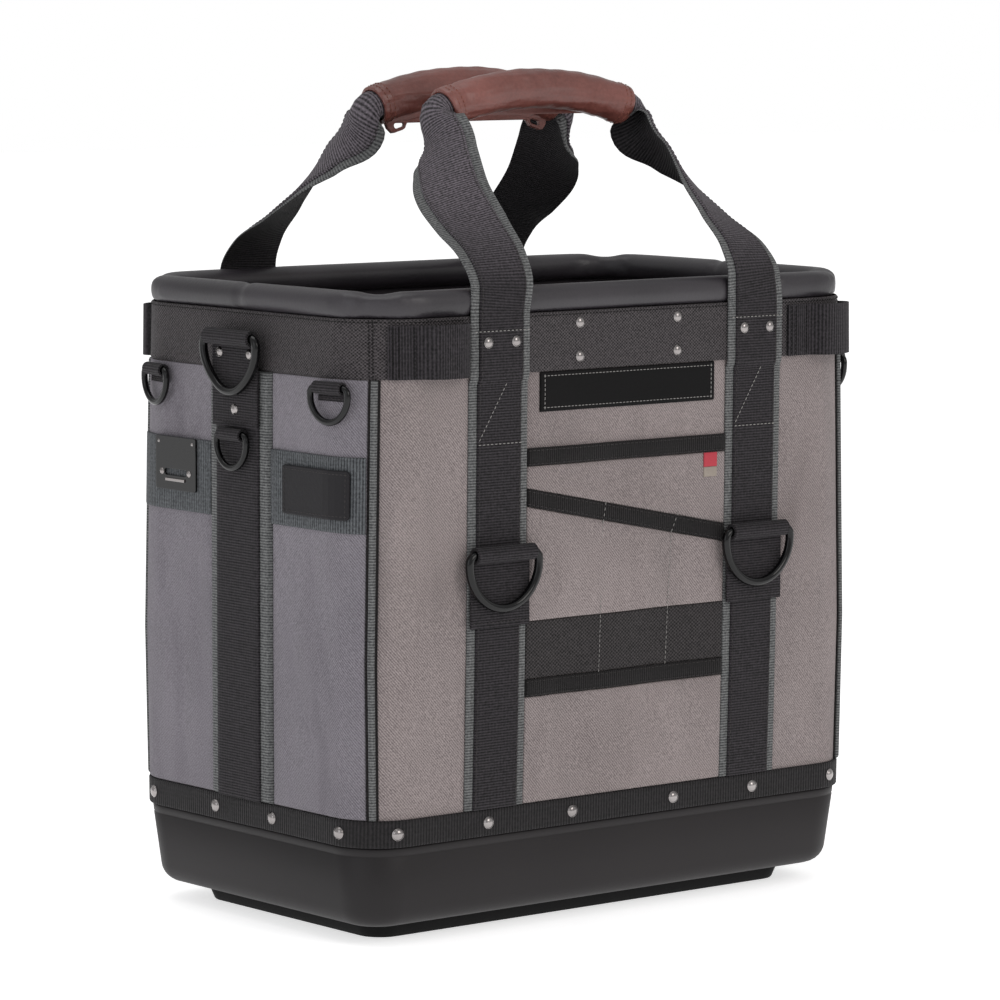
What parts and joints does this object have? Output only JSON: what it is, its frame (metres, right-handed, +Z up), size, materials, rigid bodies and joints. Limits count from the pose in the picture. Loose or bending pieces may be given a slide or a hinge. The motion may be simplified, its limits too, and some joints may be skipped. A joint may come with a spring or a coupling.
{
  "type": "open top tool tote",
  "caption": "Boxy open top tool bag on a moulded tub, with two webbing handles in leather grips, sewn pockets, side loops and hanging D-rings.",
  "frame": {"origin": "middle of the underside of the skid pad, which the bag stands on", "axes": "+Z up, +X along the long front to the right, the front with its pockets faces -Y"},
  "size_m": [0.48, 0.307, 0.5829],
  "materials": {
    "front_cloth": "warm grey twill",
    "end_cloth": "cool grey twill",
    "ballistic_cloth": "coarse dark basket weave",
    "binding_tape": "fine black binding tape",
    "webbing": "ribbed charcoal webbing",
    "grey_webbing": "ribbed grey-green webbing",
    "rim_cloth": "smooth coated black cloth over padding",
    "tub_plastic": "moulded, fine grain",
    "skid_rubber": "matte",
    "leather": "reddish brown, waxed",
    "dark_leather": "smooth dark leather, stitched edge",
    "label_cloth": "black woven patch, bare",
    "tab_cloth": "red woven tab with a pale foot, bare",
    "black_metal": "gloss black",
    "chrome": "polished rivets",
    "thread": "grey sewing thread"
  },
  "bodies": {
    "root": {"skid_pad": "skid_rubber", "base_tub": "tub_plastic", "body_shell": "front_cloth", "upper_band": "ballistic_cloth", "base_tape": "webbing", "rim_roll": "rim_cloth", "handle_strap_front": "webbing", "grip_front": "leather", "handle_strap_back": "webbing", "grip_back": "leather", "strap_front_left_loop": "webbing", "strap_front_right_loop": "webbing", "strap_back_left_loop": "webbing", "strap_back_right_loop": "webbing", "end_column_left": "webbing", "end_left_loop": "webbing", "tag_left_loop": "webbing", "end_panel_left_far": "end_cloth", "end_strip_left_far": "grey_webbing", "side_left_far_loop": "webbing", "end_panel_left_near": "end_cloth", "end_strip_left_near": "grey_webbing", "side_left_near_loop": "webbing", "end_column_right": "webbing", "end_right_loop": "webbing", "tag_right_loop": "webbing", "end_panel_right_far": "end_cloth", "end_strip_right_far": "grey_webbing", "side_right_far_loop": "webbing", "end_panel_right_near": "end_cloth", "end_strip_right_near": "grey_webbing", "side_right_near_loop": "webbing", "metal_plate": "black_metal", "end_patch": "dark_leather", "side_loop_front_left": "webbing", "side_loop_front_right": "webbing", "side_loop_back_left": "webbing", "side_loop_back_right": "webbing", "upper_pocket_binding": "binding_tape", "upper_pocket": "front_cloth", "slant_pocket_binding": "binding_tape", "slant_pocket": "front_cloth", "mesh_panel": "ballistic_cloth", "lower_pocket_binding": "binding_tape", "lower_pocket": "front_cloth", "label_patch": "label_cloth", "pocket_tab": "tab_cloth"},
    "strap_front_left_ring": {"strap_front_left_ring": "black_metal"},
    "strap_front_right_ring": {"strap_front_right_ring": "black_metal"},
    "strap_back_left_ring": {"strap_back_left_ring": "black_metal"},
    "strap_back_right_ring": {"strap_back_right_ring": "black_metal"},
    "end_left_ring": {"end_left_ring": "black_metal"},
    "tag_left_ring": {"tag_left_ring": "black_metal"},
    "side_left_far_ring": {"side_left_far_ring": "black_metal"},
    "side_left_near_ring": {"side_left_near_ring": "black_metal"},
    "end_right_ring": {"end_right_ring": "black_metal"},
    "tag_right_ring": {"tag_right_ring": "black_metal"},
    "side_right_far_ring": {"side_right_far_ring": "black_metal"},
    "side_right_near_ring": {"side_right_near_ring": "black_metal"}
  },
  "joints": [
    {"name": "strap_front_left_ring_swing", "type": "hinge", "parent": "root", "child": "strap_front_left_ring", "pos_m": [-0.1149, -0.14788, 0.262], "axis": [-1, 0, 0], "range_deg": [0, 160]},
    {"name": "strap_front_right_ring_swing", "type": "hinge", "parent": "root", "child": "strap_front_right_ring", "pos_m": [0.1149, -0.14788, 0.262], "axis": [-1, 0, 0], "range_deg": [0, 160]},
    {"name": "strap_back_left_ring_swing", "type": "hinge", "parent": "root", "child": "strap_back_left_ring", "pos_m": [0.1149, 0.14788, 0.262], "axis": [1, 0, 0], "range_deg": [0, 160]},
    {"name": "strap_back_right_ring_swing", "type": "hinge", "parent": "root", "child": "strap_back_right_ring", "pos_m": [-0.1149, 0.14788, 0.262], "axis": [1, 0, 0], "range_deg": [0, 160]},
    {"name": "end_left_ring_swing", "type": "hinge", "parent": "root", "child": "end_left_ring", "pos_m": [-0.2344, 0, 0.404], "axis": [0, 1, 0], "range_deg": [0, 160]},
    {"name": "tag_left_ring_swing", "type": "hinge", "parent": "root", "child": "tag_left_ring", "pos_m": [-0.2331, 0, 0.338], "axis": [0, 1, 0], "range_deg": [0, 140]},
    {"name": "side_left_far_ring_swing", "type": "hinge", "parent": "root", "child": "side_left_far_ring", "pos_m": [-0.22778, 0.09596, 0.376], "axis": [0.1564, 0.9877, 0], "range_deg": [0, 150]},
    {"name": "side_left_near_ring_swing", "type": "hinge", "parent": "root", "child": "side_left_near_ring", "pos_m": [-0.227, -0.10088, 0.376], "axis": [-0.1564, 0.9877, 0], "range_deg": [0, 150]},
    {"name": "end_right_ring_swing", "type": "hinge", "parent": "root", "child": "end_right_ring", "pos_m": [0.2344, 0, 0.404], "axis": [0, -1, 0], "range_deg": [0, 160]},
    {"name": "tag_right_ring_swing", "type": "hinge", "parent": "root", "child": "tag_right_ring", "pos_m": [0.2331, 0, 0.338], "axis": [0, -1, 0], "range_deg": [0, 140]},
    {"name": "side_right_far_ring_swing", "type": "hinge", "parent": "root", "child": "side_right_far_ring", "pos_m": [0.22778, 0.09596, 0.376], "axis": [0.1564, -0.9877, 0], "range_deg": [0, 150]},
    {"name": "side_right_near_ring_swing", "type": "hinge", "parent": "root", "child": "side_right_near_ring", "pos_m": [0.227, -0.10088, 0.376], "axis": [-0.1564, -0.9877, 0], "range_deg": [0, 150]}
  ]
}
